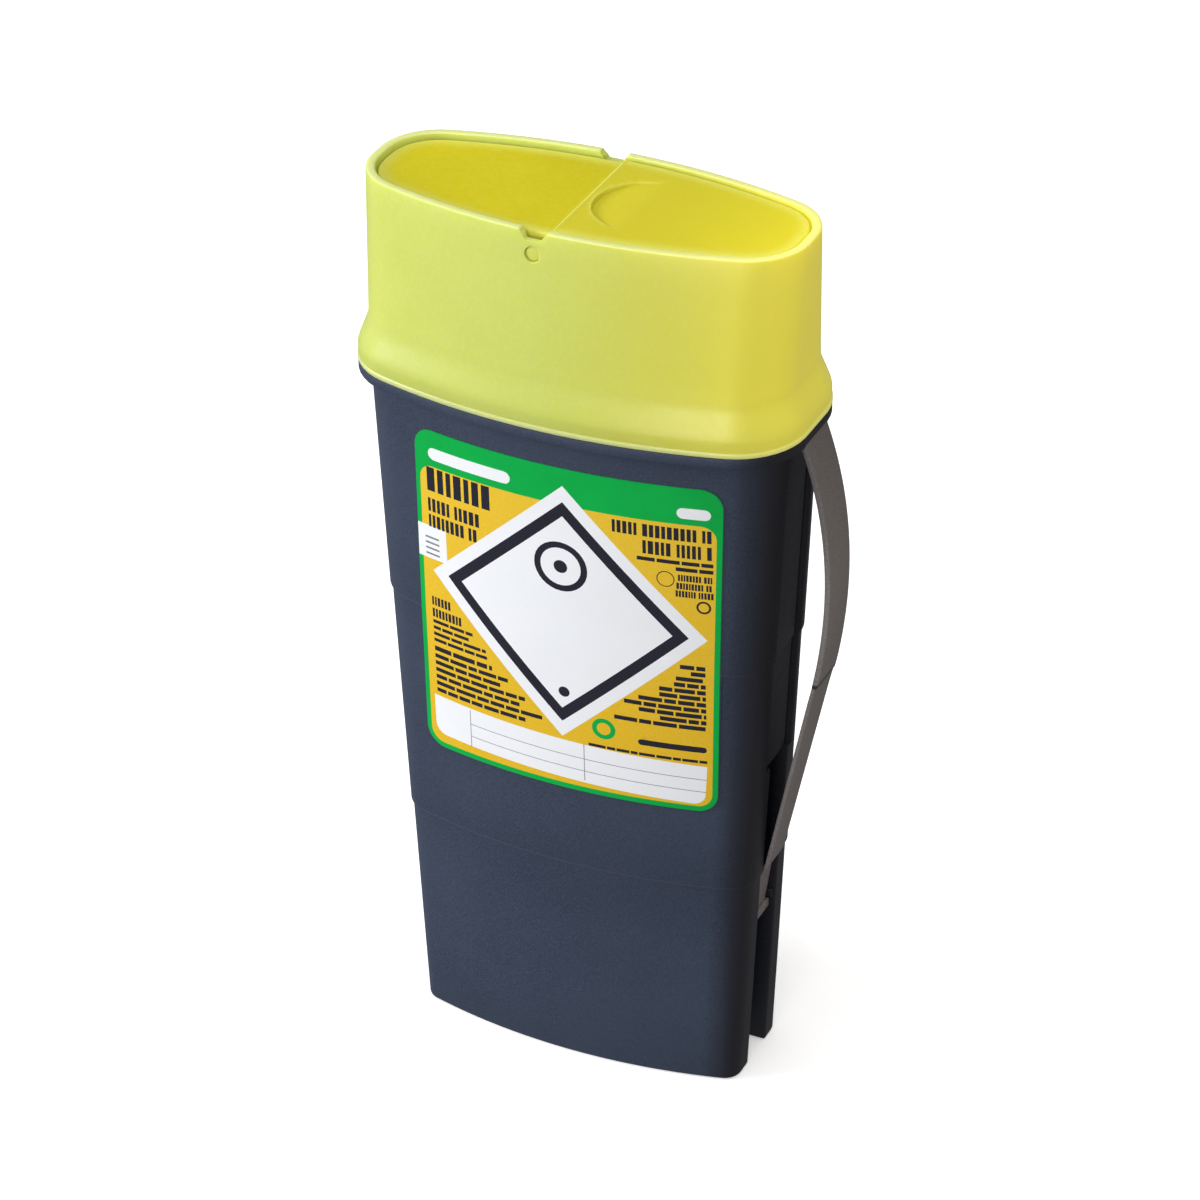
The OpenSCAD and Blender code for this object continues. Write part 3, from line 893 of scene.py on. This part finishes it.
def flap_loops():
    loops = [finer(outline(grown(FLAP_SEC, -g)), 2.0) for g in (0.0, 0.12, 0.24, 0.36, 1.2, 1.25)]
    for x in (EDGE_X - 0.3, EDGE_X, EDGE_X + 0.35, EDGE_X + 0.7):
        loops.append(finer([(x, -18.6), (x, 18.6)], 1.0))
    cx = MARK_X + MARK_R
    for r in (MARK_R, MARK_R - 0.3):
        t = math.acos((MARK_CHORD - cx) / r)
        loops.append(arc(cx, 0, r, t, 2 * math.pi - t, 44))
    return loops


def make_flap():
    s = Shape()
    loops = flap_loops()
    s.plate(
        loops,
        lattice(-51, 51, -20, 20, 1.6),
        lambda p: inset_depth(FLAP_SEC, p[0], p[1]) > 0,
        lambda p: (p[0], p[1], flap_top(p[0], p[1])),
        lambda p: (p[0], p[1], flap_under(p[0], p[1])),
    )
    ear = RIM[1] - LID_WALL - FLAP_GAP - 0.1
    tip = RIM[1] + 0.1
    barrel = PIN_R + 0.8
    pins = [(-tip, PIN_R - 0.5), (-tip + 0.12, PIN_R - 0.15), (-tip + 0.5, PIN_R), (-ear, PIN_R)]
    pins += [(-ear, barrel - 0.3), (-ear + 0.3, barrel)]
    pins += [(-y, r) for y, r in reversed(pins)]
    s.lathe_y(pins, PIVOT_X, PIVOT_Z)
    under = TOTAL_H - FLAP_DROP - FLAP_STEP - FLAP_T
    s.block((PIVOT_X - 1, 0.8 - ear, PIVOT_Z), (PIVOT_X + 1, ear - 0.8, under + 0.3), 0.2)
    obj = s.make("flap_plate", [FLAP_MAT])
    pale = obj.data.attributes.new("pale", "FLOAT", "POINT")
    for v, item in zip(obj.data.vertices, pale.data):
        x, y, z = (c / MM for c in v.co)
        deep = inset_depth(FLAP_SEC, x, y)
        # Painted highlight along the step's edge
        edge = max(0.0, 1.0 - abs(x - EDGE_X - 0.2) / 0.7)
        # Painted light coming through the plastic along the border
        border = 0.75 * min(max((3.4 - deep) / 3.0, 0.0), 1.0)
        middle = max(border, 0.12 if x > EDGE_X else 0.0)
        # Painted highlight along the press mark's arc
        from_arc = abs(math.hypot(x - MARK_X - MARK_R, y) - MARK_R)
        arc_highlight = max(0.0, 1.0 - from_arc / 0.45) if x < MARK_CHORD else 0.0
        item.value = max(middle, 0.8 * edge, 0.5 * arc_highlight) if z > PIVOT_Z + 2 else 0.0
        if abs(y) > RIM[1] - LID_WALL:
            item.value = 1.0
    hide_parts("rocker_flap")
    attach(obj, "flap")


# ---------------------------------------------------------------- strap

STRAP_T = 1.4
BOW = ((54.6, 177.5), (62.8, 155.7), (62.4, 133.8), (58.3, CREASE_H))
ROOT_HALF, CREASE_HALF = 6.3, 5.6
# The straight legs below the crease run through these, as (x, z, half width)
LEGS = ((58.3, CREASE_H, CREASE_HALF), (46.8, 59.4, 4.7), (44.3, 55.2, 3.8), (42.4, 43.0, 3.8))


def bow_point(t):
    """The point at t on the cubic curve that BOW steers, from the lip to the crease."""
    weights = ((1 - t) ** 3, 3 * (1 - t) ** 2 * t, 3 * (1 - t) * t * t, t ** 3)
    return tuple(sum(w * p[k] for w, p in zip(weights, BOW)) for k in (0, 1))


def strap_path():
    """Outer face as (x, z, half width, step inwards), from the lip down to the foot."""
    path = []
    for i in range(33):
        x, z = bow_point(i / 32)
        up = (z - CREASE_H) / (BOW[0][1] - CREASE_H)
        path.append((x, z, CREASE_HALF + (ROOT_HALF - CREASE_HALF) * up, 0.0 if i < 32 else 0.1))
    x, z, half = LEGS[0]
    path.append((x, z - 0.35, half, 0.4))
    for start, end, steps in zip(LEGS, LEGS[1:], (12, 5, 6)):
        for k in range(1, steps + 1):
            path.append((*mix(start, end, k / steps), 0.4))
    return path


def strap_ring(path, i):
    """The strap's section at one point of its path, square to the path and with rounded edges."""
    x, z, w, drop = path[i]
    x0, z0 = path[max(i - 1, 0)][:2]
    x1, z1 = path[min(i + 1, len(path) - 1)][:2]
    length = math.hypot(x1 - x0, z1 - z0)
    nx, nz = (z0 - z1) / length, (x1 - x0) / length
    r = 0.35
    section = []
    outer, inner = -drop - r, r - STRAP_T
    for cy, cd, a0 in ((w - r, outer, 0), (w - r, inner, -90), (r - w, inner, -180), (r - w, outer, -270)):
        for k in range(4):
            t = math.radians(90 + a0 - 30 * k)
            section.append((cy + r * math.cos(t), cd + r * math.sin(t)))
    return [(x + nx * d, y, z + nz * d) for y, d in section]


def make_strap():
    s = Shape()
    path = strap_path()
    s.loft([strap_ring(path, i) for i in range(len(path))])
    root = SEAM_H - LIP_H
    s.block((SEAM[0] + 0.4, -6.3, root + 0.02), (SEAM[0] + LIP_OUT - 0.05, 6.3, SEAM_H - 0.02), 0.3)
    x, z, _ = LEGS[-1]
    s.block((x - STRAP_T - 0.4, -4.6, z - 1.7), (x + 0.4, 4.6, z + 0.7), 0.35)
    obj = s.make("strap_band", [STRAP_MAT])
    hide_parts("carry_strap")
    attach(obj, "container")


make_base()
make_label()
make_lid()
make_flap()
make_strap()

# ---------------------------------------------------------------- floor, light and camera


def make_floor():
    """A white floor with a little light of its own, so that it takes only a faint shadow."""
    p = Paint("floor_pale")
    p.colour(p.ramp(p.noise(3, 2), [(0.3, (0.86, 0.86, 0.86)), (0.7, (0.88, 0.88, 0.88))]))
    p.set(Roughness=0.8, Emission_Color=(1.0, 1.0, 1.0, 1.0), Emission_Strength=0.42)
    mesh = bpy.data.meshes.new("floor")
    size = 4.0
    corners = [(-size, -size, 0), (size, -size, 0), (size, size, 0), (-size, size, 0)]
    mesh.from_pydata(corners, [], [(0, 1, 2, 3)])
    mesh.materials.append(p.mat)
    obj = bpy.data.objects.new("floor", mesh)
    bpy.context.scene.collection.objects.link(obj)
    obj.location.z = -0.0002
    obj.visible_glossy = False
    obj.visible_diffuse = False


def area_light(name, place, target, size, power, colour):
    data = bpy.data.lights.new(name, "AREA")
    data.shape = "DISK"
    data.size = size
    data.energy = power
    data.color = colour
    obj = bpy.data.objects.new(name, data)
    bpy.context.scene.collection.objects.link(obj)
    obj.location = place
    way = Vector(target) - Vector(place)
    obj.rotation_euler = way.to_track_quat("-Z", "Y").to_euler()


def make_light():
    """A dim sky, a soft overhead lamp, a key from the left, a front fill and a warm lamp from the right."""
    world = bpy.data.worlds.new("studio")
    world.use_nodes = True
    tree = world.node_tree
    back = tree.nodes["Background"]
    back.inputs["Strength"].default_value = 1.0
    coord = tree.nodes.new("ShaderNodeTexCoord")
    split = tree.nodes.new("ShaderNodeSeparateXYZ")
    ramp = tree.nodes.new("ShaderNodeValToRGB")
    low, high = ramp.color_ramp.elements
    low.position, low.color = 0.0, (0.22, 0.22, 0.23, 1.0)
    high.position, high.color = 0.9, (0.42, 0.42, 0.42, 1.0)
    tree.links.new(coord.outputs["Generated"], split.inputs["Vector"])
    tree.links.new(split.outputs["Z"], ramp.inputs["Fac"])
    tree.links.new(ramp.outputs["Color"], back.inputs["Color"])
    bpy.context.scene.world = world
    bpy.context.scene.view_settings.view_transform = "Standard"
    middle = (0.0, 0.0, 0.11)
    area_light("overhead", (-0.1, -0.2, 2.0), middle, 1.8, 19, (1.0, 1.0, 1.0))
    area_light("key", (-1.6, -0.85, 0.75), middle, 0.8, 32, (0.97, 0.98, 1.0))
    area_light("front", (0.3, -2.0, 0.6), middle, 0.9, 15, (1.0, 1.0, 1.0))
    area_light("warm_side", (1.3, 0.1, 0.7), middle, 0.6, 2.2, (1.0, 0.78, 0.52))


def make_camera():
    data = bpy.data.cameras.new("camera")
    data.sensor_width = 36.0
    data.lens = 138.0
    obj = bpy.data.objects.new("camera", data)
    bpy.context.scene.collection.objects.link(obj)
    azimuth, elevation, roll = math.radians(25.59), math.radians(32.18), math.radians(-0.64)
    level = math.cos(elevation)
    back = Vector((math.sin(azimuth) * level, -math.cos(azimuth) * level, math.sin(elevation)))
    right = Vector((math.cos(azimuth), math.sin(azimuth), 0.0))
    up = back.cross(right)
    across = right * math.cos(roll) + up * math.sin(roll)
    above = up * math.cos(roll) - right * math.sin(roll)
    aim = Vector((0.0, 0.0, TOTAL_H / 2 * MM))
    distance, aside, lift = 1.0742, 0.00093, 0.0055
    obj.location = aim + back * distance + across * aside + above * lift
    turn = Matrix((across, above, back)).transposed()
    obj.rotation_mode = "QUATERNION"
    obj.rotation_quaternion = turn.to_quaternion()
    bpy.context.scene.camera = obj


make_floor()
make_light()
make_camera()
